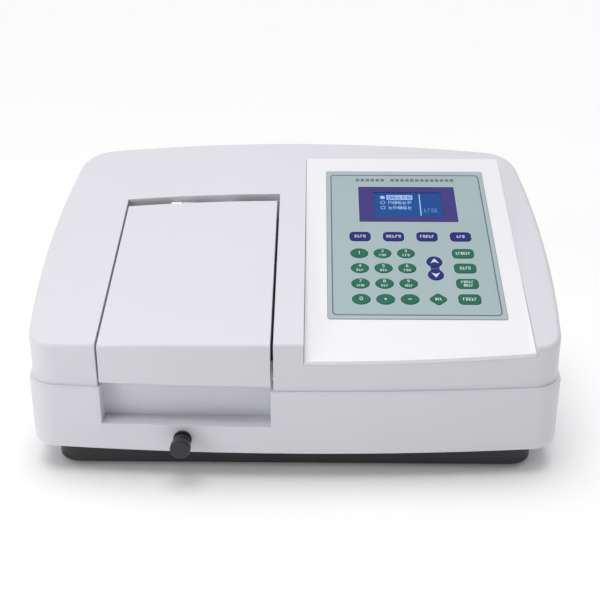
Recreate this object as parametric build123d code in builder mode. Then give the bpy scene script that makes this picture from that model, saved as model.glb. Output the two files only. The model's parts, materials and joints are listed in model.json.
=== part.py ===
"""Bench spectrophotometer: shells, lidded sample compartment, console with keys, optics and supply."""
from build123d import *
from math import cos, radians, sin
import os

os.makedirs("parts", exist_ok=True)

# ---- driving dimensions (mm), +X right, -Y front, +Z up, feet on Z = 0 ----
HALF_UP, HALF_LO = 237.0, 240.0      # half widths of upper and lower shell
YF, YFL, YR = -138.0, -140.5, 155.0  # upper front, lower front, rear face
SIDE_R, SIDE_Y = 931.0, 2.0          # bowed side arc and where it is widest
BOW = 13.7                           # front bow at X = 240
SEAM, Z_WHITE, Z_TRAY = 85.3, 24.0, 4.0
SLOPE, CROWN, Z_CREST = 0.35, 13.1, 128.6
WALL_UP, WALL_LO = 3.0, 5.5
TOP_R = 5.0
R_FRONT, R_REAR = 27.0, 30.0

LID_X0, LID_X1, LID_Y1, LID_Z0 = -167.0, -19.5, 55.5, 89.5
OPEN_X0, OPEN_X1, OPEN_Y1 = -168.7, -17.0, 64.8
HINGE_Y, HINGE_Z, PIN_R = 58.2, 190.0, 1.25
LEDGE_Z, RECESS_Y = 52.0, -120.0
TUB_X0, TUB_X1, TUB_Y0, TUB_Y1, TUB_Z = -163.0, -25.0, -117.3, 62.0, 19.0
BEAM_Y, BEAM_Z = -15.0, 62.0
ROD_X, ROD_Z, ROD_R = -96.5, 39.0, 4.0

PL_X0, PL_X1, PL_Y1, PL_Z, PL_TAN = 9.0, 205.8, 121.0, 113.7, 0.415
RUN = 0.2                            # clearance around each key


def roof_z(x, y, drop=0.0):
    return Z_CREST - CROWN * (x / 240.0) ** 2 + SLOPE * (y - YF) - drop


def plate_z(y, drop=0.0):
    return PL_Z + PL_TAN * (y - YF) - drop


def plan(half, front, inset=0.0):
    """Plan outline: bowed front and sides, straight rear, rounded corners."""
    half, front, rear = half - inset, front + inset, YR - inset
    xf = half - 8.7
    yf = front + BOW * (xf / 240.0) ** 2
    xr = half - (rear - SIDE_Y) ** 2 / (2 * SIDE_R)
    with BuildSketch(Plane.XY) as outline:
        with BuildLine():
            ThreePointArc((-xf, yf), (0, front), (xf, yf))
            ThreePointArc((xf, yf), (half, SIDE_Y), (xr, rear))
            Line((xr, rear), (-xr, rear))
            ThreePointArc((-xr, rear), (-half, SIDE_Y), (-xf, yf))
        make_face()
        fillet(outline.vertices().group_by(Axis.Y)[0], R_FRONT - inset)
        fillet([v for v in outline.vertices() if abs(v.Y - rear) < 0.5 and abs(abs(v.X) - xr) < 1], R_REAR - inset)
    return outline.sketch


ROOF_DIR = (0, 1, SLOPE)
ROOF_LEN = 360.0 * (1 + SLOPE ** 2) ** 0.5
Y_START = YF - 30.0
XZ_START = Plane(origin=(0, Y_START, 0), x_dir=(1, 0, 0), z_dir=(0, -1, 0))
KEYS = Plane(origin=(0, YF, PL_Z), x_dir=(1, 0, 0), z_dir=(0, -PL_TAN / (1 + PL_TAN ** 2) ** 0.5, 1 / (1 + PL_TAN ** 2) ** 0.5))


def under_roof(drop, mode=Mode.INTERSECT):
    """Everything below the crowned, sloping roof lowered by drop."""
    side, top = roof_z(250, Y_START, drop), roof_z(0, Y_START, drop)
    with BuildSketch(XZ_START) as profile:
        with BuildLine():
            ThreePointArc((-250, side), (0, top), (250, side))
            Polyline((250, side), (250, -400), (-250, -400), (-250, side))
        make_face()
    extrude(profile.sketch, amount=ROOF_LEN, dir=ROOF_DIR, mode=mode)


def out(builder, name):
    builder.part.label = name
    export_step(builder.part, f"parts/{name}.step")


def yz_prism(points, x0, x1, mode=Mode.ADD):
    with BuildSketch(Plane.YZ.offset(x0)) as section:
        with BuildLine():
            Polyline(*points, close=True)
        make_face()
    extrude(section.sketch, amount=x1 - x0, mode=mode)


def box(x0, x1, y0, y1, z0, z1, mode=Mode.ADD):
    with Locations(((x0 + x1) / 2, (y0 + y1) / 2, (z0 + z1) / 2)):
        Box(x1 - x0, y1 - y0, z1 - z0, mode=mode)


def rod_x(y, z, r, x0, x1, mode=Mode.ADD):
    with BuildSketch(Plane.YZ.offset(x0)) as disc:
        with Locations((y, z)):
            Circle(r)
    extrude(disc.sketch, amount=x1 - x0, mode=mode)


def rod_y(x, z, r, y0, y1, mode=Mode.ADD):
    with BuildSketch(Plane(origin=(x, y0, z), x_dir=(1, 0, 0), z_dir=(0, 1, 0))) as disc:
        Circle(r)
    extrude(disc.sketch, amount=y1 - y0, mode=mode)


def rod_z(x, y, r, z0, z1, mode=Mode.ADD):
    with BuildSketch(Plane.XY.offset(z0)) as disc:
        with Locations((x, y)):
            Circle(r)
    extrude(disc.sketch, amount=z1 - z0, mode=mode)


# ---- upper shell blanks ----
with BuildPart() as shell_blank:
    with BuildSketch(Plane.XY.offset(SEAM)):
        add(plan(HALF_UP, YF))
    extrude(amount=170)
    under_roof(0.0)
    fillet(shell_blank.faces().sort_by(Axis.Z)[-1].edges(), TOP_R)

with BuildPart() as shell_core:
    with BuildSketch(Plane.XY.offset(SEAM - 1)):
        add(plan(HALF_UP, YF, WALL_UP))
    extrude(amount=171)
    under_roof(3.2)

with BuildPart() as flanges:
    with BuildSketch(Plane.XY.offset(SEAM)):
        for x0, x1, y0, y1 in ((OPEN_X0 - 2.5, OPEN_X0, YF + 1, OPEN_Y1 + 2.5),
                               (OPEN_X1, OPEN_X1 + 2.5, YF + 1, OPEN_Y1 + 2.5),
                               (OPEN_X0 - 2.5, OPEN_X1 + 2.5, OPEN_Y1, OPEN_Y1 + 2.5),
                               (PL_X0 - 2.8, PL_X0 - 0.3, YF + 1, 119),
                               (PL_X1 + 0.3, PL_X1 + 2.8, YF + 1, 119)):
            with Locations(((x0 + x1) / 2, (y0 + y1) / 2)):
                Rectangle(x1 - x0, y1 - y0)
    extrude(amount=160)
    with BuildSketch(Plane.XY.offset(SEAM)):
        add(plan(HALF_UP, YF, 1.0))
    extrude(amount=160, mode=Mode.INTERSECT)
    under_roof(1.6)
    yz_prism([(-117.5, 80), (-117.5, roof_z(0, -117.5, 24.6)), (130, roof_z(0, 130, 24.6)), (130, 80)], -180, 215, Mode.SUBTRACT)

# ---- upper_housing ----
with BuildPart() as upper_housing:
    add(shell_blank.part)
    add(shell_core.part, mode=Mode.SUBTRACT)
    box(OPEN_X0, OPEN_X1, -170, OPEN_Y1, 60, 300, Mode.SUBTRACT)
    yz_prism([(-160, plate_z(-160, 3.3)), (-122.5, plate_z(-122.5, 3.3)), (-122.5, 95), (PL_Y1 + 0.3, 95),
              (PL_Y1 + 0.3, 300), (-160, 300)], PL_X0 - 0.3, PL_X1 + 0.3, Mode.SUBTRACT)
    add(flanges.part)
    with BuildSketch(Plane(origin=(160, YR + 1, 130), x_dir=(1, 0, 0), z_dir=(0, -1, 0))):
        with GridLocations(0, 6, 1, 8):
            SlotOverall(50, 3)
    extrude(amount=6, mode=Mode.SUBTRACT)
out(upper_housing, "upper_housing")

# ---- sample_lid ----
with BuildPart() as lid_blank:
    with BuildSketch(Plane.XY.offset(LID_Z0)):
        add(plan(HALF_UP, YF))
    extrude(amount=170)
    under_roof(1.0)
    fillet(lid_blank.faces().sort_by(Axis.Z)[-1].edges(), TOP_R)

with BuildPart() as lid_core:
    with BuildSketch(Plane.XY.offset(LID_Z0 - 5)):
        add(plan(HALF_UP, YF, 3.0))
    extrude(amount=171)
    under_roof(4.2)
    box(LID_X0 + 3, LID_X1 - 3, -170, 80, 50, 300, Mode.INTERSECT)

with BuildPart() as sample_lid:
    add(lid_blank.part)
    box(LID_X0, LID_X1, -170, LID_Y1, 60, 300, Mode.INTERSECT)
    add(lid_core.part, mode=Mode.SUBTRACT)
    yz_prism([(-124, 60), (-124, roof_z(0, -124, 20.6)), (70, roof_z(0, 70, 20.6)), (70, 60)], -175, -10, Mode.SUBTRACT)
    for x0 in (-113.4, -83.4):
        yz_prism([(47, 184.2), (47, 187.4), (HINGE_Y, 192.0), (HINGE_Y, 187.6)], x0, x0 + 10.8)
        rod_x(HINGE_Y, HINGE_Z, 2.4, x0, x0 + 10.8)
    rod_x(HINGE_Y, HINGE_Z, PIN_R, -130, -50, Mode.SUBTRACT)
out(sample_lid, "sample_lid")

with BuildPart() as lid_hinge_pin:
    rod_x(HINGE_Y, HINGE_Z, PIN_R, -126, -60)
out(lid_hinge_pin, "lid_hinge_pin")

with BuildPart() as hinge_brackets:
    for x0 in (-124.4, -72.0):
        yz_prism([(HINGE_Y, HINGE_Z - 7), (HINGE_Y, HINGE_Z), (OPEN_Y1, HINGE_Z), (OPEN_Y1, HINGE_Z - 9)], x0, x0 + 10.4)
        rod_x(HINGE_Y, HINGE_Z, 2.4, x0, x0 + 10.4)
    rod_x(HINGE_Y, HINGE_Z, PIN_R + 0.05, -130, -50, Mode.SUBTRACT)
out(hinge_brackets, "hinge_brackets")

# ---- lower_housing ----
with BuildPart() as lower_housing:
    with BuildSketch(Plane.XY.offset(Z_WHITE)):
        add(plan(HALF_LO, YFL))
    extrude(amount=SEAM - Z_WHITE)
    fillet(lower_housing.faces().sort_by(Axis.Z)[0].edges(), 4.0)
    fillet(lower_housing.faces().sort_by(Axis.Z)[-1].edges(), 1.2)
    with BuildSketch(Plane.XY.offset(Z_WHITE + 3)):
        add(plan(HALF_LO, YFL, WALL_LO))
    extrude(amount=80, mode=Mode.SUBTRACT)
    with BuildSketch(Plane.XY.offset(Z_WHITE - 1)):
        with Locations((0, 10.1)):
            Rectangle(412, 255.8)
        with Locations((-197, -105), (197, -105), (-197, 128), (197, 128)):
            Rectangle(24, 28, mode=Mode.SUBTRACT)
    extrude(amount=10, mode=Mode.SUBTRACT)
    box(-170, -16, -136, -117.5, LEDGE_Z - 2.5, SEAM)
    box(OPEN_X0 + 0.3, OPEN_X1 - 0.3, RECESS_Y, -117.5, SEAM - 1, 105)
    box(-166.5, -19.5, -170, RECESS_Y, LEDGE_Z, 120, Mode.SUBTRACT)
    rod_y(ROD_X, ROD_Z, 6.0, -150, -128, Mode.SUBTRACT)
    box(-158, -22, YR - 1.7, YR + 2, 30, 82, Mode.SUBTRACT)
    box(-150, -30, YR - 8, YR + 2, 36, 76, Mode.SUBTRACT)
    for x in (-154, -26):
        for z in (34, 78):
            rod_y(x, z, 1.5, YR - 4.5, YR + 1, Mode.SUBTRACT)
    for x in (-196, 196):
        for y in (-102, 130):
            rod_z(x, y, 2.0, Z_WHITE - 1, Z_WHITE + 5, Mode.SUBTRACT)
out(lower_housing, "lower_housing")

# ---- base_tray ----
with BuildPart() as base_tray:
    with BuildSketch(Plane.XY.offset(Z_TRAY)):
        with Locations((0, 11.75)):
            RectangleRounded(428, 266.5, 22)
    extrude(amount=Z_WHITE - Z_TRAY)
    fillet(base_tray.faces().sort_by(Axis.Z)[0].edges(), 2.0)
    with BuildSketch(Plane.XY.offset(Z_TRAY + 3)):
        with Locations((0, 11.75)):
            RectangleRounded(422, 260.5, 19)
    extrude(amount=30, mode=Mode.SUBTRACT)
    for x in (-196, 196):
        for y in (-102, 130):
            rod_z(x, y, 6.0, Z_TRAY + 2, Z_WHITE)
            rod_z(x, y, 2.1, Z_TRAY - 1, Z_WHITE + 1, Mode.SUBTRACT)
    for x in (-150, 0, 150):
        for y in (-70, 100):
            rod_z(x, y, 7.0, Z_TRAY + 2, 13.0)
out(base_tray, "base_tray")

with BuildPart() as rubber_feet:
    for x in (-178, 178):
        for y in (-96, 124):
            with BuildSketch(Plane.XY):
                with Locations((x, y)):
                    Circle(9)
            extrude(amount=Z_TRAY, taper=-8)
out(rubber_feet, "rubber_feet")

with BuildPart() as case_screws:
    for x in (-196, 196):
        for y in (-102, 130):
            rod_z(x, y, 1.95, Z_TRAY - 0.5, Z_WHITE + 2.8)
            rod_z(x, y, 3.8, Z_TRAY - 1.8, Z_TRAY)
out(case_screws, "case_screws")

# ---- sample compartment ----
with BuildPart() as sample_tub:
    yz_prism([(TUB_Y0, TUB_Z), (TUB_Y0, roof_z(0, TUB_Y0, 25)), (TUB_Y1, roof_z(0, TUB_Y1, 25)), (TUB_Y1, TUB_Z)], TUB_X0, TUB_X1)
    yz_prism([(TUB_Y0, roof_z(0, TUB_Y0, 27.4)), (TUB_Y0, roof_z(0, TUB_Y0, 24.7)), (OPEN_Y1, roof_z(0, OPEN_Y1, 24.7)),
              (OPEN_Y1, roof_z(0, OPEN_Y1, 27.4))], OPEN_X0 - 2.5, OPEN_X1 + 2.5)
    box(TUB_X0 + 2.5, TUB_X1 - 2.5, TUB_Y0 + 2.5, TUB_Y1 - 2.5, TUB_Z + 2.5, 260, Mode.SUBTRACT)
    rod_x(BEAM_Y, BEAM_Z, 6.0, TUB_X0 - 1, TUB_X1 + 1, Mode.SUBTRACT)
    rod_y(ROD_X, ROD_Z, 5.0, TUB_Y0 - 1, TUB_Y0 + 4, Mode.SUBTRACT)
out(sample_tub, "sample_tub")

with BuildPart() as cell_track:
    box(-122, -71, -80, 50, 21.5, 24.9)
    box(-115.0, -111.7, -80, 50, 24, 30)
    box(-81.3, -78.0, -80, 50, 24, 30)
out(cell_track, "cell_track")

with BuildPart() as cell_holder:
    box(-111.5, -81.5, -25, 40, 25.0, 78)
    fillet(cell_holder.edges().filter_by(Axis.Z), 1.5)
    for i in range(4):
        yc = BEAM_Y + 15 * i
        box(ROD_X - 6.4, ROD_X + 6.4, yc - 6.4, yc + 6.4, 47, 90, Mode.SUBTRACT)
        rod_x(yc, BEAM_Z, 4.0, -120, -70, Mode.SUBTRACT)
    rod_y(ROD_X, ROD_Z, ROD_R, -30, -15, Mode.SUBTRACT)
out(cell_holder, "cell_holder")

with BuildPart() as pull_rod:
    rod_y(ROD_X, ROD_Z, ROD_R, -152, -15)
out(pull_rod, "pull_rod")

with BuildPart() as pull_knob:
    with BuildSketch(Plane(origin=(ROD_X, 0, ROD_Z), x_dir=(0, 1, 0), z_dir=(1, 0, 0))):
        with BuildLine():
            Polyline((-157.7, 0), (-157.7, 8.0), (-156.9, 8.8), (-151.9, 8.8), (-151.2, 8.1), (-150.2, 6.2),
                     (-146.8, 6.2), (-146.0, 7.4), (-144.2, 7.4), (-143.6, 6.8), (-143.6, 0), close=True)
        make_face()
    revolve(axis=Axis((ROD_X, 0, ROD_Z), (0, 1, 0)))
    rod_y(ROD_X, ROD_Z, ROD_R, -152, -140, Mode.SUBTRACT)
out(pull_knob, "pull_knob")

with BuildPart() as rod_bushing:
    rod_y(ROD_X, ROD_Z, 6.0, -140, -129)
    rod_y(ROD_X, ROD_Z, 8.0, -140.9, -138.7)
    rod_y(ROD_X, ROD_Z, ROD_R + 0.05, -145, -120, Mode.SUBTRACT)
out(rod_bushing, "rod_bushing")

# ---- console ----
EY, EH = 0.4, 0.9                       # overlay thickness, key height above the plate
WX0, WX1, WS0, WS1 = 60.8, 156.5, 179.7, 233.4
GX0, GX1, GS0, GS1 = 76.0, 142.2, 187.4, 224.5
PAD_X0, PAD_X1, PAD_S0, PAD_S1 = 28.9, 187.2, 49.6, 258.2

KEYS_LIST = []
for i, x in enumerate((60.7, 92.5, 124.3, 156.1)):
    KEYS_LIST.append((f"menu_key_{i + 1}", "slab", x, 158.3, 19.8, 13.2))
GRID_NAMES = ("number_key_1", "number_key_2", "number_key_3", "number_key_4", "number_key_5", "number_key_6",
              "number_key_7", "number_key_8", "number_key_9", "number_key_0", "point_key", "minus_key")
for i, nm in enumerate(GRID_NAMES):
    KEYS_LIST.append((nm, "oval", (59.3, 81.0, 102.8)[i % 3], (134.8, 114.6, 94.3, 74.2)[i // 3], 16.6, 13.2))
KEYS_LIST.append(("up_key", "round", 128.4, 123.2, 14.4, 14.4))
KEYS_LIST.append(("down_key", "round", 128.4, 106.0, 14.4, 14.4))
KEYS_LIST.append(("stop_key", "diamond", 128.1, 74.4, 18.4, 16.2))
for i, s in enumerate((134.7, 114.7, 94.4, 74.5)):
    KEYS_LIST.append((f"function_key_{i + 1}", "slab", 156.0, s, 20.2, 13.0))


def key_shape(kind, x, s, w, h, grow=0.0, mode=Mode.ADD):
    with Locations((x, s)):
        if kind == "slab":
            RectangleRounded(w + 2 * grow, h + 2 * grow, 4.2 + grow, mode=mode)
        elif kind == "oval":
            Ellipse(w / 2 + grow, h / 2 + grow, mode=mode)
        elif kind == "round":
            Circle(w / 2 + grow, mode=mode)
        else:
            with BuildSketch(Plane.XY, mode=Mode.PRIVATE) as diamond:
                Polygon((-w / 2 - grow, 0), (0, -h / 2 - grow), (w / 2 + grow, 0), (0, h / 2 + grow), align=None)
                fillet(diamond.vertices(), 3.0)
            add(diamond.sketch, mode=mode)


with BuildPart() as console_plate:
    yz_prism([(-160, plate_z(-160)), (PL_Y1, plate_z(PL_Y1)), (PL_Y1, plate_z(PL_Y1, 18)), (-160, plate_z(-160, 18))], PL_X0, PL_X1)
    yz_prism([(-170, plate_z(-170, 3.2)), (PL_Y1 - 2.5, plate_z(PL_Y1 - 2.5, 3.2)), (PL_Y1 - 2.5, 60), (-170, 60)],
             PL_X0 + 2.5, PL_X1 - 2.5, Mode.SUBTRACT)
    yz_prism([(-170, plate_z(-170, 3.2)), (-121, plate_z(-121, 3.2)), (-121, 60), (-170, 60)], PL_X0 - 5, PL_X1 + 5, Mode.SUBTRACT)
    with BuildSketch(Plane.XY.offset(60)):
        add(plan(HALF_UP, YF))
    extrude(amount=200, mode=Mode.INTERSECT)
    with BuildSketch(KEYS.offset(-8)):
        for _, kind, x, s, w, h in KEYS_LIST:
            key_shape(kind, x, s, w, h, RUN)
        with Locations(((GX0 + GX1) / 2, (GS0 + GS1) / 2)):
            Rectangle(GX1 - GX0 + 6, GS1 - GS0 + 6)
    extrude(amount=12, mode=Mode.SUBTRACT)
out(console_plate, "console_plate")

with BuildPart() as keypad_overlay:
    with BuildSketch(KEYS):
        with Locations(((PAD_X0 + PAD_X1) / 2, (PAD_S0 + PAD_S1) / 2)):
            RectangleRounded(PAD_X1 - PAD_X0, PAD_S1 - PAD_S0, 2.5)
        for _, kind, x, s, w, h in KEYS_LIST:
            key_shape(kind, x, s, w, h, RUN, Mode.SUBTRACT)
        with Locations(((WX0 + WX1) / 2, (WS0 + WS1) / 2)):
            Rectangle(WX1 - WX0, WS1 - WS0, mode=Mode.SUBTRACT)
    extrude(amount=EY)
out(keypad_overlay, "keypad_overlay")

with BuildPart() as display_bezel:
    with BuildSketch(KEYS):
        with Locations(((WX0 + WX1) / 2, (WS0 + WS1) / 2)):
            Rectangle(WX1 - WX0, WS1 - WS0)
        with Locations(((GX0 + GX1) / 2, (GS0 + GS1) / 2)):
            Rectangle(GX1 - GX0, GS1 - GS0, mode=Mode.SUBTRACT)
    extrude(amount=0.5)
out(display_bezel, "display_bezel")

with BuildPart() as display_glass:
    with BuildSketch(KEYS.offset(-1.5)):
        with Locations(((GX0 + GX1) / 2, (GS0 + GS1) / 2)):
            Rectangle(GX1 - GX0 + 5.6, GS1 - GS0 + 5.6)
    extrude(amount=1.5)
out(display_glass, "display_glass")

with BuildPart() as display_module:
    with BuildSketch(KEYS.offset(-9)):
        with Locations(((WX0 + WX1) / 2, (GS0 + GS1) / 2)):
            Rectangle(93, 60)
    extrude(amount=6)
    with BuildSketch(KEYS.offset(-3)):
        with Locations(((GX0 + GX1) / 2, (GS0 + GS1) / 2)):
            Rectangle(GX1 - GX0 + 5, GS1 - GS0 + 5)
    extrude(amount=1.5)
out(display_module, "display_module")

with BuildPart() as keypad_board:
    with BuildSketch(KEYS.offset(-6.6)):
        with Locations((108, 116)):
            Rectangle(126, 108)
    extrude(amount=1.6)
    with BuildSketch(KEYS.offset(-6.6)):
        with Locations((46.6, 116), (169.4, 116)):
            Rectangle(3.2, 30)
    extrude(amount=3.6)
out(keypad_board, "keypad_board")

for nm, kind, x, s, w, h in KEYS_LIST:
    with BuildPart() as key:
        with BuildSketch(KEYS.offset(-3.2)):
            key_shape(kind, x, s, w, h)
        extrude(amount=3.2 + EH + (0.2 if kind == "round" else 0))
        fillet(key.faces().sort_by(Axis(KEYS.origin, KEYS.z_dir))[-1].edges(), 0.45)
        with BuildSketch(KEYS.offset(-4.0)):
            key_shape(kind, x, s, w, h, 0.9)
        extrude(amount=1.0)
    out(key, nm)

# ---- optics ----
with BuildPart() as optical_bench:
    box(-203, 203, -92, 118, 13, 19)
    fillet(optical_bench.edges().filter_by(Axis.Z), 6)
out(optical_bench, "optical_bench")

MX0, MX1, MY0, MY1, MZ1 = 0.0, 150.0, -60.0, 100.0, 95.0
TX, TY = 92.0, 18.0                      # grating turret axis
WY = BEAM_Y + 24.0                       # filter wheel axis
with BuildPart() as monochromator_casting:
    box(MX0, MX1, MY0, MY1, 19, MZ1)
    fillet(monochromator_casting.edges().filter_by(Axis.Z), 6)
    box(MX0 + 6, MX1 - 6, MY0 + 6, MY1 - 6, 24, MZ1 + 1, Mode.SUBTRACT)
    rod_x(BEAM_Y, BEAM_Z, 5.0, MX0 - 1, MX0 + 7, Mode.SUBTRACT)
    rod_x(30, BEAM_Z, 5.0, MX1 - 7, MX1 + 1, Mode.SUBTRACT)
    rod_x(WY, BEAM_Z, 3.05, MX0 - 1, MX0 + 7, Mode.SUBTRACT)
    rod_z(TX, TY, 5.05, 18, 25, Mode.SUBTRACT)
out(monochromator_casting, "monochromator_casting")

with BuildPart() as grating_turret:
    rod_z(TX, TY, 5.0, 19.5, 30)
    rod_z(TX, TY, 22.0, 24.3, 30)
    box(TX - 18, TX + 18, TY, TY + 8, 29, 80)
out(grating_turret, "grating_turret")

with BuildPart() as diffraction_grating:
    box(TX - 17, TX + 17, TY - 6, TY, 40, 76)
out(diffraction_grating, "diffraction_grating")

with BuildPart() as collimating_mirrors:
    for yc in (-32, 68):
        box(128, 140, yc - 18, yc + 18, 24, 84)
        with Locations((28, yc, BEAM_Z)):
            Sphere(102, mode=Mode.SUBTRACT)
out(collimating_mirrors, "collimating_mirrors")

with BuildPart() as filter_wheel:
    rod_x(WY, BEAM_Z, 3.0, MX0 + 1, 14)
    rod_x(WY, BEAM_Z, 7.0, 7, 14)
    with BuildSketch(Plane.YZ.offset(9)):
        with Locations((WY, BEAM_Z)):
            Circle(31)
            with PolarLocations(24, 6, start_angle=180):
                Circle(5, mode=Mode.SUBTRACT)
    extrude(amount=3)
out(filter_wheel, "filter_wheel")

with BuildPart() as lamp_housing:
    box(158, 203, -5, 65, 19, 115)
    box(161, 200, -2, 62, 22, 120, Mode.SUBTRACT)
    rod_x(30, BEAM_Z, 6.0, 157, 162, Mode.SUBTRACT)
    for z in (85, 95, 105):
        box(199, 204, 5, 55, z, z + 4, Mode.SUBTRACT)
out(lamp_housing, "lamp_housing")

with BuildPart() as halogen_lamp:
    rod_z(180, 30, 11, 22, 44)
    rod_z(180, 30, 6.0, 44, 66)
    with Locations((180, 30, 66)):
        Sphere(6.0)
out(halogen_lamp, "halogen_lamp")

with BuildPart() as detector_housing:
    box(-203, -173, -40, 10, 19, 90)
    rod_x(BEAM_Y, BEAM_Z, 6.0, -185, -172, Mode.SUBTRACT)
out(detector_housing, "detector_housing")

# ---- electronics, rear ----
with BuildPart() as main_board:
    box(6, 144, -50, 95, MZ1, MZ1 + 1.6)
    for x0, x1, y0, y1, h in ((20, 50, -30, 0, 4), (60, 85, -35, -15, 3), (95, 130, -30, 5, 5), (20, 40, 30, 70, 4),
                              (60, 110, 40, 50, 9), (120, 135, 30, 80, 12)):
        box(x0, x1, y0, y1, MZ1 + 1, MZ1 + 1.6 + h)
out(main_board, "main_board")

with BuildPart() as power_supply:
    box(-155, -45, 72, 116, 19, 68)
    fillet(power_supply.edges().filter_by(Axis.Z), 2)
    with BuildSketch(Plane.XY.offset(60)):
        with Locations((-100, 94)):
            with GridLocations(12, 0, 7, 1):
                SlotOverall(30, 4, rotation=90)
    extrude(amount=12, mode=Mode.SUBTRACT)
out(power_supply, "power_supply")

IX0, IX1, IZ0, IZ1 = -148.0, -92.0, 41.0, 71.0
RKX, RKY, RKZ = -135.5, 151.5, 56.0
with BuildPart() as rear_panel:
    box(-158, -22, YR - 1.7, YR, 30, 82)
    box(IX0 + 2, IX1 - 2, YR - 3, YR + 1, IZ0 + 2, IZ1 - 2, Mode.SUBTRACT)
    for x in (-154, -26):
        for z in (34, 78):
            rod_y(x, z, 1.6, YR - 3, YR + 1, Mode.SUBTRACT)
out(rear_panel, "rear_panel")

with BuildPart() as power_inlet:
    box(IX0, IX1, YR, YR + 2.7, IZ0, IZ1)
    fillet(power_inlet.edges().filter_by(Axis.Y), 3)
    box(IX0 + 2, IX1 - 2, 125, YR + 0.5, IZ0 + 2, IZ1 - 2)
    box(-122.2, -97.8, 140.7, YR + 4, 47.8, 64.2, Mode.SUBTRACT)
    for x, z in ((-117, 53.5), (-103, 53.5), (-110, 58.5)):
        box(x - 1, x + 1, 140, 152, z - 2, z + 2)
    box(RKX - 6.6, RKX + 6.6, 139, YR + 4, RKZ - 10.8, RKZ + 10.8, Mode.SUBTRACT)
    rod_x(RKY, RKZ, 1.55, RKX - 8.6, RKX + 8.6, Mode.SUBTRACT)
out(power_inlet, "power_inlet")

with BuildPart() as power_rocker:
    with BuildSketch(Plane.YZ.offset(RKX - 6.4)):
        with Locations(Location((RKY, RKZ), 8.0)):
            Polygon((-5.0, -3.0), (0.0, -9.4), (4.2, -9.4), (2.4, 0.0), (4.2, 9.4), (0.0, 9.4), (-5.0, 3.0), align=None)
    extrude(amount=12.8)
    rod_x(RKY, RKZ, 1.5, RKX - 8.4, RKX + 8.4)
out(power_rocker, "power_rocker")

with BuildPart() as panel_screws:
    for x in (-154, -26):
        for z in (34, 78):
            rod_y(x, z, 1.45, YR - 4.4, YR + 0.2)
            rod_y(x, z, 2.9, YR, YR + 1.7)
out(panel_screws, "panel_screws")

FX, FZ = 160.0, 130.0
with BuildPart() as fan_frame:
    box(FX - 30, FX + 30, 131, 151.6, FZ - 30, FZ + 30)
    fillet(fan_frame.edges().filter_by(Axis.Y), 4)
    rod_y(FX, FZ, 28.3, 130, 153, Mode.SUBTRACT)
    box(FX - 29, FX + 29, 131, 133.2, FZ - 2, FZ + 2)
    box(FX - 2, FX + 2, 131, 133.2, FZ - 29, FZ + 29)
    rod_y(FX, FZ, 12, 131, 133.2)
    rod_y(FX, FZ, 2.05, 130, 134, Mode.SUBTRACT)
out(fan_frame, "fan_frame")

with BuildPart() as fan_rotor:
    rod_y(FX, FZ, 2.0, 131.3, 140)
    rod_y(FX, FZ, 13.0, 133.7, 149.5)
    for i in range(7):
        a = radians(i * 360 / 7.0)
        with BuildSketch(Plane(origin=(FX, 135, FZ), x_dir=(cos(a), 0, sin(a)), z_dir=(0, 1, 0))):
            with Locations((19.5, 0)):
                Rectangle(15, 1.6)
        extrude(amount=13)
out(fan_rotor, "fan_rotor")
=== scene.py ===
import bpy, bmesh, json, math
from math import radians, cos, sin, pi, hypot
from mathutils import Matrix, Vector


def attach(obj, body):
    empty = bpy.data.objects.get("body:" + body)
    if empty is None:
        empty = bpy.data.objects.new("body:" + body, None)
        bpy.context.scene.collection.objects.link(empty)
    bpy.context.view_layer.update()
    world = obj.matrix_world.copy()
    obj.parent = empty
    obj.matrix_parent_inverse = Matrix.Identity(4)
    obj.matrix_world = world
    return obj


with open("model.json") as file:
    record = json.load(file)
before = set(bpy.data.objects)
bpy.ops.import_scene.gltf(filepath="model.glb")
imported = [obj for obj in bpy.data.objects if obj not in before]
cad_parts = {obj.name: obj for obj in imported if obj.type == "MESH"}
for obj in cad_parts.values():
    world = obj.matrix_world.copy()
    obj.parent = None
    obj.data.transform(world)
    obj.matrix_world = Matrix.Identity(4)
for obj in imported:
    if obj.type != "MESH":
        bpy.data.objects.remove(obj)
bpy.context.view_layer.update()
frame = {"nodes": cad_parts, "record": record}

NODES = frame["nodes"]
sc = bpy.context.scene
MM = 0.001

# ---------------------------------------------------------------- console plane
YF, PL_Z, TAN = -138.0, 113.7, 0.415
CN = 1 / hypot(1, TAN)
SN = TAN * CN


def P(x, s, h=0.0):
    """Console-plane coordinates (mm) to the row frame (m)."""
    return Vector((x * MM, (YF + s * CN - h * SN) * MM, (PL_Z + s * SN + h * CN) * MM))


# ---------------------------------------------------------------- node helpers
def new_mat(name):
    m = bpy.data.materials.new(name)
    m.use_nodes = True
    nt = m.node_tree
    b = nt.nodes["Principled BSDF"]
    return m, nt, b


def nd(nt, kind, **kw):
    n = nt.nodes.new(kind)
    for k, v in kw.items():
        if k.startswith("in_"):
            n.inputs[k[3:].replace("_", " ")].default_value = v
        else:
            setattr(n, k, v)
    return n


def rgba(c):
    return (c[0], c[1], c[2], 1.0)


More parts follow.
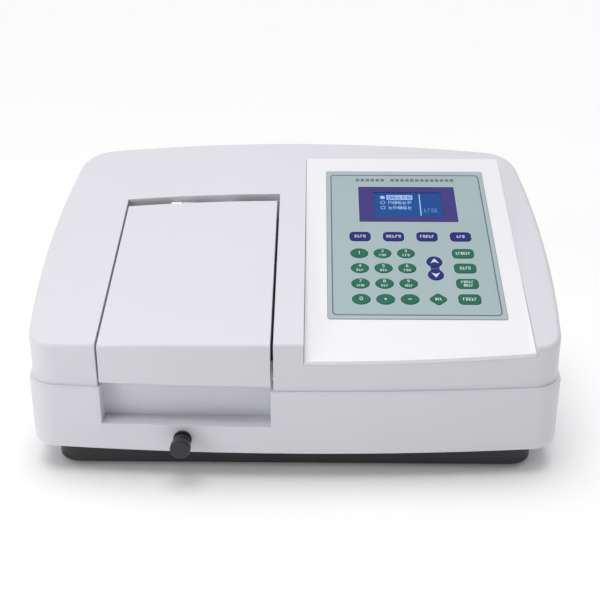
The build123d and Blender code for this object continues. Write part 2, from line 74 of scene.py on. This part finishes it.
def plastic(name, col, var=0.03, rough=0.4, rough_var=0.08, grain=1400.0, grain_h=0.00002, bump=0.25,
            edge=0.0, coat=0.0, mottled=7.0, spec=0.5, dust=0.0):
    """Moulded plastic: slight colour drift, fine spark-eroded grain, softened edges. The dust argument is not used."""
    m, nt, b = new_mat(name)
    L = nt.links
    tc = nd(nt, "ShaderNodeTexCoord")
    n1 = nd(nt, "ShaderNodeTexNoise"); n1.inputs["Scale"].default_value = mottled; n1.inputs["Detail"].default_value = 4
    L.new(tc.outputs["Object"], n1.inputs["Vector"])
    ramp = nd(nt, "ShaderNodeMapRange"); ramp.inputs["From Min"].default_value = 0.3; ramp.inputs["From Max"].default_value = 0.7
    L.new(n1.outputs["Fac"], ramp.inputs["Value"])
    mix = nd(nt, "ShaderNodeMix", data_type="RGBA")
    mix.inputs["A"].default_value = rgba([max(0, c * (1 - var)) for c in col])
    mix.inputs["B"].default_value = rgba([min(1, c * (1 + var)) for c in col])
    L.new(ramp.outputs["Result"], mix.inputs["Factor"])
    colour = mix.outputs["Result"]
    # moulding specks
    n3 = nd(nt, "ShaderNodeTexNoise"); n3.inputs["Scale"].default_value = 420.0; n3.inputs["Detail"].default_value = 2
    L.new(tc.outputs["Object"], n3.inputs["Vector"])
    r3 = nd(nt, "ShaderNodeMapRange"); r3.inputs["From Min"].default_value = 0.35; r3.inputs["From Max"].default_value = 0.75
    r3.inputs["To Min"].default_value = 1.0; r3.inputs["To Max"].default_value = 1.0 - var * 0.6
    L.new(n3.outputs["Fac"], r3.inputs["Value"])
    mul = nd(nt, "ShaderNodeVectorMath", operation="SCALE")
    L.new(colour, mul.inputs[0]); L.new(r3.outputs["Result"], mul.inputs["Scale"])
    L.new(mul.outputs["Vector"], b.inputs["Base Color"])
    rr = nd(nt, "ShaderNodeMapRange"); rr.inputs["To Min"].default_value = rough - rough_var; rr.inputs["To Max"].default_value = rough + rough_var
    L.new(n1.outputs["Fac"], rr.inputs["Value"]); L.new(rr.outputs["Result"], b.inputs["Roughness"])
    g = nd(nt, "ShaderNodeTexNoise"); g.inputs["Scale"].default_value = grain; g.inputs["Detail"].default_value = 3; g.inputs["Roughness"].default_value = 0.6
    L.new(tc.outputs["Object"], g.inputs["Vector"])
    bp = nd(nt, "ShaderNodeBump"); bp.inputs["Strength"].default_value = bump; bp.inputs["Distance"].default_value = grain_h
    L.new(g.outputs["Fac"], bp.inputs["Height"])
    if edge:
        bv = nd(nt, "ShaderNodeBevel", samples=6); bv.inputs["Radius"].default_value = edge
        L.new(bv.outputs["Normal"], bp.inputs["Normal"])
    L.new(bp.outputs["Normal"], b.inputs["Normal"])
    b.inputs["Specular IOR Level"].default_value = spec
    if coat:
        b.inputs["Coat Weight"].default_value = coat
        b.inputs["Coat Roughness"].default_value = 0.12
    return m


def metal(name, col, rough=0.3, brush=(60, 60, 2500), aniso=0.0, bump=0.15, edge=0.0003):
    m, nt, b = new_mat(name)
    L = nt.links
    tc = nd(nt, "ShaderNodeTexCoord")
    mp = nd(nt, "ShaderNodeMapping"); mp.inputs["Scale"].default_value = brush
    L.new(tc.outputs["Object"], mp.inputs["Vector"])
    n = nd(nt, "ShaderNodeTexNoise"); n.inputs["Scale"].default_value = 1.0; n.inputs["Detail"].default_value = 4
    L.new(mp.outputs["Vector"], n.inputs["Vector"])
    mix = nd(nt, "ShaderNodeMix", data_type="RGBA")
    mix.inputs["A"].default_value = rgba([c * 0.88 for c in col]); mix.inputs["B"].default_value = rgba([min(1, c * 1.06) for c in col])
    L.new(n.outputs["Fac"], mix.inputs["Factor"]); L.new(mix.outputs["Result"], b.inputs["Base Color"])
    rr = nd(nt, "ShaderNodeMapRange"); rr.inputs["To Min"].default_value = rough * 0.7; rr.inputs["To Max"].default_value = rough * 1.3
    L.new(n.outputs["Fac"], rr.inputs["Value"]); L.new(rr.outputs["Result"], b.inputs["Roughness"])
    b.inputs["Metallic"].default_value = 1.0
    bp = nd(nt, "ShaderNodeBump"); bp.inputs["Strength"].default_value = bump; bp.inputs["Distance"].default_value = 0.00002
    L.new(n.outputs["Fac"], bp.inputs["Height"])
    if edge:
        bv = nd(nt, "ShaderNodeBevel", samples=4); bv.inputs["Radius"].default_value = edge
        L.new(bv.outputs["Normal"], bp.inputs["Normal"])
    L.new(bp.outputs["Normal"], b.inputs["Normal"])
    return m


def board(name, col, trace):
    """Printed board: solder mask with traces and pads as a brick pattern."""
    m, nt, b = new_mat(name)
    L = nt.links
    tc = nd(nt, "ShaderNodeTexCoord")
    br = nd(nt, "ShaderNodeTexBrick"); br.inputs["Scale"].default_value = 90.0; br.inputs["Mortar Size"].default_value = 0.02
    br.inputs["Color1"].default_value = rgba(col); br.inputs["Color2"].default_value = rgba([c * 0.8 for c in col]); br.inputs["Mortar"].default_value = rgba(trace)
    L.new(tc.outputs["Object"], br.inputs["Vector"])
    n = nd(nt, "ShaderNodeTexNoise"); n.inputs["Scale"].default_value = 60.0
    L.new(tc.outputs["Object"], n.inputs["Vector"])
    mix = nd(nt, "ShaderNodeMix", data_type="RGBA"); mix.inputs["B"].default_value = rgba([c * 0.7 for c in col])
    L.new(n.outputs["Fac"], mix.inputs["Factor"]); L.new(br.outputs["Color"], mix.inputs["A"])
    L.new(mix.outputs["Result"], b.inputs["Base Color"])
    b.inputs["Roughness"].default_value = 0.35
    bp = nd(nt, "ShaderNodeBump"); bp.inputs["Strength"].default_value = 0.3; bp.inputs["Distance"].default_value = 0.0001
    L.new(br.outputs["Fac"], bp.inputs["Height"]); L.new(bp.outputs["Normal"], b.inputs["Normal"])
    return m


# ---------------------------------------------------------------- materials
WHITE = (0.790, 0.790, 0.835)
MATS = {
    "shell_white": plastic("shell_white", WHITE, 0.012, 0.42, 0.05, 1500, 0.00002, 0.30, edge=0.0009, mottled=5),
    "console_white": plastic("console_white", (0.93, 0.93, 0.96), 0.008, 0.36, 0.05, 1500, 0.00002, 0.22, edge=0.0006, mottled=5),
    "overlay_teal": plastic("overlay_teal", (0.368, 0.486, 0.497), 0.03, 0.38, 0.05, 2600, 0.00001, 0.25, edge=0.0002, mottled=12),
    "bezel_violet": plastic("bezel_violet", (0.052, 0.040, 0.235), 0.10, 0.34, 0.05, 900, 0.000005, 0.1, edge=0.0003, mottled=20, spec=0.12),
    "base_black": plastic("base_black", (0.021, 0.020, 0.025), 0.12, 0.5, 0.08, 1100, 0.00004, 0.5, edge=0.0008, mottled=14),
    "rubber_black": plastic("rubber_black", (0.012, 0.012, 0.013), 0.2, 0.75, 0.08, 900, 0.00006, 0.6, edge=0.0006, mottled=30),
    "knob_black": plastic("knob_black", (0.020, 0.020, 0.024), 0.12, 0.36, 0.06, 1200, 0.00002, 0.3, edge=0.0004, mottled=60),
    "tub_black": plastic("tub_black", (0.018, 0.018, 0.020), 0.15, 0.7, 0.08, 900, 0.00006, 0.6, edge=0.0005, mottled=20),
    "inlet_black": plastic("inlet_black", (0.014, 0.014, 0.015), 0.15, 0.45, 0.08, 1200, 0.00004, 0.4, edge=0.0004, mottled=60),
    "fan_black": plastic("fan_black", (0.016, 0.016, 0.018), 0.12, 0.5, 0.08, 1100, 0.00003, 0.4, edge=0.0004, mottled=40),
    "rocker_red": plastic("rocker_red", (0.38, 0.018, 0.014), 0.06, 0.28, 0.05, 1200, 0.00001, 0.2, edge=0.0004, coat=0.2, mottled=80),
    "panel_grey": plastic("panel_grey", (0.30, 0.31, 0.33), 0.04, 0.45, 0.08, 2000, 0.00004, 0.5, edge=0.0003, mottled=20),
    "key_green": plastic("key_green", (0.014, 0.165, 0.105), 0.10, 0.42, 0.06, 2600, 0.00001, 0.25, edge=0.0004, mottled=90, spec=0.12),
    "key_navy": plastic("key_navy", (0.018, 0.016, 0.215), 0.10, 0.42, 0.06, 2600, 0.00001, 0.25, edge=0.0004, mottled=90, spec=0.12),
    "steel": metal("steel", (0.62, 0.63, 0.65), 0.28, (60, 60, 2500)),
    "aluminium_satin": metal("aluminium_satin", (0.78, 0.79, 0.81), 0.38, (1800, 40, 40)),
    "anodised_black": metal("anodised_black", (0.05, 0.05, 0.055), 0.42, (900, 900, 900)),
    "mirror": metal("mirror", (0.93, 0.93, 0.95), 0.04, (300, 300, 300), bump=0.02),
    "board_green": board("board_green", (0.012, 0.12, 0.05), (0.25, 0.30, 0.10)),
}

# ground lamp glass
m, nt, b = new_mat("lamp_glass")
tc = nd(nt, "ShaderNodeTexCoord"); n = nd(nt, "ShaderNodeTexNoise"); n.inputs["Scale"].default_value = 200.0
nt.links.new(tc.outputs["Object"], n.inputs["Vector"])
r = nd(nt, "ShaderNodeMapRange"); r.inputs["To Min"].default_value = 0.03; r.inputs["To Max"].default_value = 0.12
nt.links.new(n.outputs["Fac"], r.inputs["Value"]); nt.links.new(r.outputs["Result"], b.inputs["Roughness"])
b.inputs["Base Color"].default_value = (0.95, 0.95, 0.93, 1); b.inputs["Transmission Weight"].default_value = 0.9; b.inputs["IOR"].default_value = 1.46
MATS["lamp_glass"] = m

# backlit display: dot raster, slightly brighter broad patches, faint glow of its own
m, nt, b = new_mat("display_blue")
L = nt.links
tc = nd(nt, "ShaderNodeTexCoord")
n = nd(nt, "ShaderNodeTexNoise"); n.inputs["Scale"].default_value = 35.0; L.new(tc.outputs["Object"], n.inputs["Vector"])
mp = nd(nt, "ShaderNodeMapping"); mp.inputs["Scale"].default_value = (1900, 1900, 1900); L.new(tc.outputs["Object"], mp.inputs["Vector"])
ch = nd(nt, "ShaderNodeTexChecker"); ch.inputs["Scale"].default_value = 1.0
ch.inputs["Color1"].default_value = (0.003, 0.064, 0.275, 1); ch.inputs["Color2"].default_value = (0.002, 0.056, 0.250, 1)
L.new(mp.outputs["Vector"], ch.inputs["Vector"])
mix = nd(nt, "ShaderNodeMix", data_type="RGBA"); mix.inputs["B"].default_value = (0.005, 0.072, 0.29, 1)
L.new(n.outputs["Fac"], mix.inputs["Factor"]); L.new(ch.outputs["Color"], mix.inputs["A"])
L.new(mix.outputs["Result"], b.inputs["Base Color"]); L.new(mix.outputs["Result"], b.inputs["Emission Color"])
b.inputs["Emission Strength"].default_value = 0.15
b.inputs["Specular IOR Level"].default_value = 0.10
b.inputs["Roughness"].default_value = 0.25
MATS["display_blue"] = m


def ink(name, col, rough=0.45, emit=0.0):
    """Screen-printed ink: thin, slightly uneven coverage."""
    m, nt, b = new_mat(name)
    tc = nd(nt, "ShaderNodeTexCoord"); n = nd(nt, "ShaderNodeTexNoise"); n.inputs["Scale"].default_value = 900.0; n.inputs["Detail"].default_value = 3
    nt.links.new(tc.outputs["Object"], n.inputs["Vector"])
    mix = nd(nt, "ShaderNodeMix", data_type="RGBA")
    mix.inputs["A"].default_value = rgba([c * 0.92 for c in col]); mix.inputs["B"].default_value = rgba([min(1, c * 1.05) for c in col])
    nt.links.new(n.outputs["Fac"], mix.inputs["Factor"]); nt.links.new(mix.outputs["Result"], b.inputs["Base Color"])
    r = nd(nt, "ShaderNodeMapRange"); r.inputs["To Min"].default_value = rough - 0.08; r.inputs["To Max"].default_value = rough + 0.08
    nt.links.new(n.outputs["Fac"], r.inputs["Value"]); nt.links.new(r.outputs["Result"], b.inputs["Roughness"])
    if emit:
        nt.links.new(mix.outputs["Result"], b.inputs["Emission Color"]); b.inputs["Emission Strength"].default_value = emit
    return m


INK_HALO = ink("ink_halo", (0.425, 0.580, 0.560))
INK_LINE = ink("ink_line", (0.105, 0.150, 0.235))
INK_EDGE = ink("ink_edge", (0.43, 0.52, 0.55))
# dark colour for the band along the film's outer edge: painted shade at the film's step
SHADE_RIM_INK = ink("painted_rim_shade", (0.20, 0.27, 0.30))
INK_NAVY = ink("ink_navy", (0.016, 0.014, 0.20))
INK_WHITE = ink("ink_white", (0.72, 0.80, 0.78))
LCD_ON = ink("lcd_on", (0.27, 0.47, 0.80), 0.3, emit=0.2)
LCD_DIM = ink("lcd_dim", (0.07, 0.20, 0.48), 0.3, emit=0.15)

rec = frame["record"]
slots = {s["node"]: s["material_slot"] for s in rec["subparts"]}
for name, o in NODES.items():
    mat = MATS[slots[name]]
    if not o.material_slots:
        o.data.materials.append(mat)
    for s in o.material_slots:
        s.material = mat

# ---------------------------------------------------------------- mesh helpers for printed film
def loop_rrect(x0, x1, s0, s1, r, n=8):
    pts = []
    for cx, cy, a0 in ((x1 - r, s1 - r, 0), (x0 + r, s1 - r, 90), (x0 + r, s0 + r, 180), (x1 - r, s0 + r, 270)):
        for i in range(n + 1):
            a = radians(a0 + 90.0 * i / n)
            pts.append((cx + r * cos(a), cy + r * sin(a)))
    return pts


def loop_ellipse(x, s, rx, ry, n=48):
    return [(x + rx * cos(2 * pi * i / n), s + ry * sin(2 * pi * i / n)) for i in range(n)]


def loop_diamond(x, s, w, h, r, grow, n=8):
    """Rounded diamond; corners cut by arcs of radius r, then grown outwards."""
    c = [(w / 2, 0), (0, h / 2), (-w / 2, 0), (0, -h / 2)]
    out = []
    for i in range(4):
        p, a, bb = Vector(c[i]), Vector(c[i - 1]), Vector(c[(i + 1) % 4])
        u, v = (a - p).normalized(), (bb - p).normalized()
        half = math.acos(max(-1, min(1, u.dot(v)))) / 2
        ctr = p + (u + v).normalized() * (r / sin(half))
        t0, t1 = p + u * (r / math.tan(half)), p + v * (r / math.tan(half))
        a0 = math.atan2(*(t0 - ctr).yx); a1 = math.atan2(*(t1 - ctr).yx)
        while a1 < a0: a1 += 2 * pi
        for k in range(n + 1):
            a = a0 + (a1 - a0) * k / n
            out.append((x + ctr.x + (r + grow) * cos(a), s + ctr.y + (r + grow) * sin(a)))
    return out


def film(name, outer, inner, h0, h1, mat, body):
    """A closed sheet from h0 to h1 above the console plane, with an optional hole."""
    bm = bmesh.new()
    if inner is None:
        lo = [bm.verts.new(P(x, s, h0)) for x, s in outer]
        hi = [bm.verts.new(P(x, s, h1)) for x, s in outer]
        bm.faces.new(hi); bm.faces.new(lo[::-1])
        k = len(outer)
        for i in range(k):
            bm.faces.new((lo[i], lo[(i + 1) % k], hi[(i + 1) % k], hi[i]))
    else:
        assert len(outer) == len(inner), name
        k = len(outer)
        v = [[bm.verts.new(P(x, s, h)) for x, s in lp] for h in (h0, h1) for lp in (outer, inner)]
        (ol, il, oh, ih) = v
        for i in range(k):
            j = (i + 1) % k
            bm.faces.new((oh[i], oh[j], ih[j], ih[i]))
            bm.faces.new((ol[j], ol[i], il[i], il[j]))
            bm.faces.new((ol[i], ol[j], oh[j], oh[i]))
            bm.faces.new((il[j], il[i], ih[i], ih[j]))
    bmesh.ops.recalc_face_normals(bm, faces=bm.faces)
    me = bpy.data.meshes.new(name); bm.to_mesh(me); bm.free()
    o = bpy.data.objects.new(name, me); sc.collection.objects.link(o)
    me.materials.append(mat)
    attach(o, body)
    return o


EY, EH = 0.4, 0.9
PAD = (28.9, 187.2, 49.6, 258.2)
# printed frame line and pale edge of the film
film("film_line", loop_rrect(33.1, 183.2, 54.0, 252.7, 4.4), loop_rrect(34.4, 181.9, 55.5, 251.2, 3.3), EY - 0.02, EY + 0.03, INK_LINE, "cabinet")
film("film_edge", loop_rrect(PAD[0] + 0.6, PAD[1] - 0.6, PAD[2] + 0.6, PAD[3] - 0.6, 2.1), loop_rrect(33.1, 183.2, 54.0, 252.7, 4.4), EY - 0.02, EY + 0.02, INK_EDGE, "cabinet")
# dark band round the outer edge of the film: painted shade at the film's step, drawn as a uniform ring
film("film_painted_rim_shade", loop_rrect(PAD[0] + 0.1, PAD[1] - 0.1, PAD[2] + 0.1, PAD[3] - 0.1, 2.4), loop_rrect(PAD[0] + 0.6, PAD[1] - 0.6, PAD[2] + 0.6, PAD[3] - 0.6, 2.1), EY - 0.02, EY + 0.025, SHADE_RIM_INK, "cabinet")
# pale ring round the display window
W = (60.8, 156.5, 179.7, 233.4)
film("window_ring", loop_rrect(W[0] - 1.0, W[1] + 1.0, W[2] - 1.0, W[3] + 1.0, 1.0), loop_rrect(W[0], W[1], W[2], W[3], 0.05), EY - 0.02, EY + 0.03, INK_HALO, "cabinet")

R_SLAB, R_DIAMOND = 4.2, 3.0
KEYS = []
for i, x in enumerate((60.7, 92.5, 124.3, 156.1)):
    KEYS.append((f"menu_key_{i + 1}", "slab", x, 158.3, 19.8, 13.2))
GRID = ("number_key_1", "number_key_2", "number_key_3", "number_key_4", "number_key_5", "number_key_6",
        "number_key_7", "number_key_8", "number_key_9", "number_key_0", "point_key", "minus_key")
for i, nm in enumerate(GRID):
    KEYS.append((nm, "oval", (59.3, 81.0, 102.8)[i % 3], (134.8, 114.6, 94.3, 74.2)[i // 3], 16.6, 13.2))
KEYS.append(("up_key", "round", 128.4, 123.2, 14.4, 14.4))
KEYS.append(("down_key", "round", 128.4, 106.0, 14.4, 14.4))
KEYS.append(("stop_key", "diamond", 128.1, 74.4, 18.4, 16.2))
for i, s in enumerate((134.7, 114.7, 94.4, 74.5)):
    KEYS.append((f"function_key_{i + 1}", "slab", 156.0, s, 20.2, 13.0))


def key_loop(kind, x, s, w, h, g):
    if kind == "slab":
        return loop_rrect(x - w / 2 - g, x + w / 2 + g, s - h / 2 - g, s + h / 2 + g, R_SLAB + g, 11)
    if kind in ("oval", "round"):
        return loop_ellipse(x, s, w / 2 + g, h / 2 + g)
    return loop_diamond(x, s, w, h, R_DIAMOND, g)


for nm, kind, x, s, w, h in KEYS:
    if kind != "round":
        film(nm + "_halo", key_loop(kind, x, s, w, h, 1.15), key_loop(kind, x, s, w, h, 0.22), EY - 0.02, EY + 0.03, INK_HALO, "cabinet")

# up and down keys share one printed field: two discs and a neck, with a pale rim
def dumbbell(g, cx=128.4, su=123.2, sd=106.0, R=7.2, neck=4.2, n=22):
    pts = []
    R = R + g; neck = neck + g
    a = math.asin(min(1, neck / R))
    for k in range(n + 1):
        t = -pi / 2 + a + (2 * pi - 2 * a) * k / n
        pts.append((cx + R * cos(t), su + R * sin(t)))
    for k in range(n + 1):
        t = pi / 2 + a + (2 * pi - 2 * a) * k / n
        pts.append((cx + R * cos(t), sd + R * sin(t)))
    return pts


film("arrow_rim", dumbbell(1.2), dumbbell(0.25), EY - 0.02, EY + 0.03, INK_HALO, "cabinet")
# neck patch between the discs
neck = []
for k in range(9):
    t = -pi / 2 - 0.60 + 1.20 * k / 8
    neck.append((128.4 + 7.45 * cos(t), 123.2 + 7.45 * sin(t)))
for k in range(9):
    t = pi / 2 - 0.60 + 1.20 * k / 8
    neck.append((128.4 + 7.45 * cos(t), 106.0 + 7.45 * sin(t)))
film("arrow_neck", neck, None, EY - 0.02, EY + 0.028, INK_NAVY, "cabinet")


# ---------------------------------------------------------------- legends
def glyphs(name, txt, x, s, size, h, mat, body, depth=0.02, sx=1.0):
    cu = bpy.data.curves.new(name + "_c", "FONT")
    cu.body = txt; cu.size = size; cu.align_x = "CENTER"; cu.align_y = "CENTER"; cu.extrude = depth; cu.resolution_u = 4
    tmp = bpy.data.objects.new(name + "_t", cu); sc.collection.objects.link(tmp)
    bpy.context.view_layer.update()
    me = bpy.data.meshes.new_from_object(tmp.evaluated_get(bpy.context.evaluated_depsgraph_get()))
    bpy.data.objects.remove(tmp)
    for v in me.vertices:
        v.co = P(x + v.co.x * sx, s + v.co.y, h + v.co.z)
    me.name = name
    o = bpy.data.objects.new(name, me); sc.collection.objects.link(o)
    me.materials.clear(); me.materials.append(mat)
    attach(o, body)
    return o


def bars(name, rects, h0, h1, mat, body):
    """Several small printed bars as one mesh; each is (x0, x1, s0, s1)."""
    bm = bmesh.new()
    for x0, x1, s0, s1 in rects:
        lo = [bm.verts.new(P(a, c, h0)) for a, c in ((x0, s0), (x1, s0), (x1, s1), (x0, s1))]
        hi = [bm.verts.new(P(a, c, h1)) for a, c in ((x0, s0), (x1, s0), (x1, s1), (x0, s1))]
        bm.faces.new(hi); bm.faces.new(lo[::-1])
        for i in range(4):
            bm.faces.new((lo[i], lo[(i + 1) % 4], hi[(i + 1) % 4], hi[i]))
    me = bpy.data.meshes.new(name); bm.to_mesh(me); bm.free()
    o = bpy.data.objects.new(name, me); sc.collection.objects.link(o)
    me.materials.append(mat)
    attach(o, body)
    return o


TOP = EH + 0.015


def strokes(x, s, width, height, n, seed=0, th=0.46):
    """A word-like run of n plain marks: an upright each, with one or two cross strokes. They spell nothing."""
    out = []
    step = width / n
    lw = step * 0.70
    for i in range(n):
        x0 = x - width / 2 + i * step + (step - lw) / 2
        k = (i * 5 + seed * 3) % 4
        out.append((x0, x0 + th, s - height / 2, s + height / 2))
        if k != 1: out.append((x0 + th, x0 + lw, s + height / 2 - th, s + height / 2))
        if k != 2: out.append((x0 + th, x0 + lw, s - height / 2, s - height / 2 + th))
        if k == 3: out.append((x0 + lw - th, x0 + lw, s - height / 2 + th, s + height / 2 - th))
        if k in (0, 1): out.append((x0 + th, x0 + lw * 0.8, s - th / 2, s + th / 2))
    return out


H0, H1 = EH - 0.02, TOP + 0.01
for j, (nm, kind, x, s, w, h) in enumerate(KEYS):
    if nm.startswith("number_key_"):
        d = int(nm[-1])
        lettered = d >= 2
        glyphs(nm + "_legend", str(d), x, s + (2.7 if lettered else 0.2), 5.4 if lettered else 6.6, TOP, INK_WHITE, nm, sx=1.1)
        if lettered:
            bars(nm + "_letters", strokes(x, s - 2.9, 7.2, 2.7, 3 + (d in (7, 9)), d, 0.5), H0, H1, INK_WHITE, nm)
    elif nm == "point_key":
        film(nm + "_legend", loop_ellipse(x, s, 1.05, 1.15, 16), None, H0, H1, INK_WHITE, nm)
    elif nm == "minus_key":
        bars(nm + "_legend", [(x - 1.5, x + 1.5, s - 0.5, s + 0.5)], H0, H1, INK_WHITE, nm)
    elif kind == "round":
        d = 1 if nm == "up_key" else -1
        tri = [(x - 4.0, s - 2.3 * d), (x, s - 0.4 * d), (x + 4.0, s - 2.3 * d), (x, s + 4.2 * d)]
        if d < 0: tri = tri[::-1]
        film(nm + "_legend", tri, None, EH + 0.18, EH + 0.225, INK_WHITE, nm)
    elif kind == "diamond":
        bars(nm + "_legend", strokes(x, s, 6.6, 3.0, 3, 1, 0.55), H0, H1, INK_WHITE, nm)
    elif nm == "function_key_3":
        bars(nm + "_legend", strokes(x, s + 2.1, 11.6, 3.1, 5, 2, 0.55) + strokes(x + 0.6, s - 2.3, 9.0, 3.1, 4, 5, 0.55), H0, H1, INK_WHITE, nm)
    else:
        ww, n_ = {"menu_key_1": (11.0, 4), "menu_key_2": (14.4, 5), "menu_key_3": (13.8, 5), "menu_key_4": (8.0, 3),
                  "function_key_1": (14.0, 6), "function_key_2": (10.4, 4), "function_key_4": (12.8, 5)}[nm]
        bars(nm + "_legend", strokes(x, s, ww, 3.6, n_, j, 0.62), H0, H1, INK_WHITE, nm)

# plain dashed strip along the head of the film
bars("head_strip", [(58.8 + 5.0 * i, 58.8 + 5.0 * i + 3.6, 242.0, 246.2) for i in range(20) if i != 6], EY - 0.02, EY + 0.028, INK_LINE, "cabinet")

# ---------------------------------------------------------------- what the display shows
G = (76.0, 142.2, 187.4, 224.5)
rows = []
for k, sr in enumerate((217.2, 209.4, 201.6)):
    rows.append(strokes(101.4, sr, 24.0, 4.9, 5, k + 1, 0.62) + strokes(102.4, sr - 0.3, 22.0, 2.0, 5, k + 4, 0.5))
bars("display_rows", rows[1] + rows[2], 0.005, 0.03, LCD_ON, "cabinet")
bars("display_chosen_row", [(88.6, 114.2, 213.6, 220.8)], 0.005, 0.025, LCD_ON, "cabinet")
NAVY_ON = ink("lcd_off", (0.012, 0.08, 0.30), 0.3, emit=0.15)
bars("display_chosen_marks", rows[0], 0.024, 0.045, NAVY_ON, "cabinet")
bars("display_divider", [(120.6, 121.7, 189.8, 222.4)], 0.005, 0.03, LCD_ON, "cabinet")
bars("display_corner", strokes(131.2, 197.6, 14.0, 5.6, 4, 3, 0.7), 0.005, 0.03, LCD_DIM, "cabinet")
for k, s in enumerate((217.2, 209.4, 201.6)):
    film(f"display_dot_{k + 1}", loop_ellipse(84.6, s, 2.5, 2.5, 24), None if k == 0 else loop_ellipse(84.6, s, 1.85, 1.85, 24), 0.005, 0.03, LCD_ON, "cabinet")

# ---------------------------------------------------------------- floor, world, lights, camera
bm = bmesh.new()
NF, SZ = 24, 9.0
g = [[bm.verts.new((-SZ + 2 * SZ * i / NF, -SZ + 2 * SZ * j / NF, 0.0)) for j in range(NF + 1)] for i in range(NF + 1)]
for i in range(NF):
    for j in range(NF):
        bm.faces.new((g[i][j], g[i + 1][j], g[i + 1][j + 1], g[i][j + 1]))
me = bpy.data.meshes.new("floor"); bm.to_mesh(me); bm.free()
floor = bpy.data.objects.new("floor", me); sc.collection.objects.link(floor)
m, nt, b = new_mat("floor_white")
tc = nd(nt, "ShaderNodeTexCoord"); n = nd(nt, "ShaderNodeTexNoise"); n.inputs["Scale"].default_value = 3.0
nt.links.new(tc.outputs["Object"], n.inputs["Vector"])
mix = nd(nt, "ShaderNodeMix", data_type="RGBA"); mix.inputs["A"].default_value = (0.95, 0.95, 0.95, 1); mix.inputs["B"].default_value = (0.97, 0.97, 0.97, 1)
nt.links.new(n.outputs["Fac"], mix.inputs["Factor"]); nt.links.new(mix.outputs["Result"], b.inputs["Base Color"])
b.inputs["Roughness"].default_value = 0.9
b.inputs["Specular IOR Level"].default_value = 0.1
nt.links.new(mix.outputs["Result"], b.inputs["Emission Color"]); b.inputs["Emission Strength"].default_value = 0.07
me.materials.append(m)

w = bpy.data.worlds.new("studio"); sc.world = w; w.use_nodes = True
nt = w.node_tree; bg = nt.nodes["Background"]
tc = nd(nt, "ShaderNodeTexCoord"); sep = nd(nt, "ShaderNodeSeparateXYZ")
nt.links.new(tc.outputs["Generated"], sep.inputs["Vector"])
mz = nd(nt, "ShaderNodeMapRange", interpolation_type="SMOOTHSTEP"); mz.inputs["From Min"].default_value = 0.0; mz.inputs["From Max"].default_value = 0.9
mz.inputs["To Min"].default_value = 0.24; mz.inputs["To Max"].default_value = 0.64
nt.links.new(sep.outputs["Z"], mz.inputs["Value"])
mx = nd(nt, "ShaderNodeMapRange"); mx.inputs["From Min"].default_value = -1; mx.inputs["From Max"].default_value = 1
mx.inputs["To Min"].default_value = 1.12; mx.inputs["To Max"].default_value = 0.88
nt.links.new(sep.outputs["X"], mx.inputs["Value"])
mm_ = nd(nt, "ShaderNodeMath", operation="MULTIPLY")
nt.links.new(mz.outputs["Result"], mm_.inputs[0]); nt.links.new(mx.outputs["Result"], mm_.inputs[1])
my = nd(nt, "ShaderNodeMapRange"); my.inputs["From Min"].default_value = -1; my.inputs["From Max"].default_value = 1
my.inputs["To Min"].default_value = 0.18; my.inputs["To Max"].default_value = 1.50
nt.links.new(sep.outputs["Y"], my.inputs["Value"])
m2 = nd(nt, "ShaderNodeMath", operation="MULTIPLY")
nt.links.new(mm_.outputs["Value"], m2.inputs[0]); nt.links.new(my.outputs["Result"], m2.inputs[1])
nt.links.new(m2.outputs["Value"], bg.inputs["Strength"])
bg.inputs["Color"].default_value = (0.985, 0.985, 1.0, 1)


def sun(name, energy, angle, rx, ry, col=(1, 1, 1)):
    d = bpy.data.lights.new(name, "SUN"); d.energy = energy; d.angle = radians(angle); d.color = col
    o = bpy.data.objects.new(name, d); sc.collection.objects.link(o)
    o.rotation_euler = (radians(rx), radians(ry), 0)
    return o


sun("overhead", 1.55, 46, -3, -4)
d = bpy.data.lights.new("left_panel", "AREA"); d.shape = "RECTANGLE"; d.size = 0.9; d.size_y = 0.7; d.energy = 5.2
o = bpy.data.objects.new("left_panel", d); sc.collection.objects.link(o)
o.location = (-1.25, -1.05, 0.55)
o.rotation_euler = (Vector((-0.05, -0.1, 0.08)) - o.location).to_track_quat("-Z", "Y").to_euler()

cam = bpy.data.cameras.new("camera"); co = bpy.data.objects.new("camera", cam); sc.collection.objects.link(co)
cam.sensor_width = 36.0; cam.lens = 36.0 * 992.98 / 600.0
cam.clip_start = 0.02; cam.clip_end = 60
co.location = (0.01636, -0.9247 + 0.037, 0.48345)
co.rotation_euler = (radians(90 - 22.69), 0, radians(0.82))
sc.camera = co
sc.view_settings.view_transform = "Standard"
sc.view_settings.look = "None"
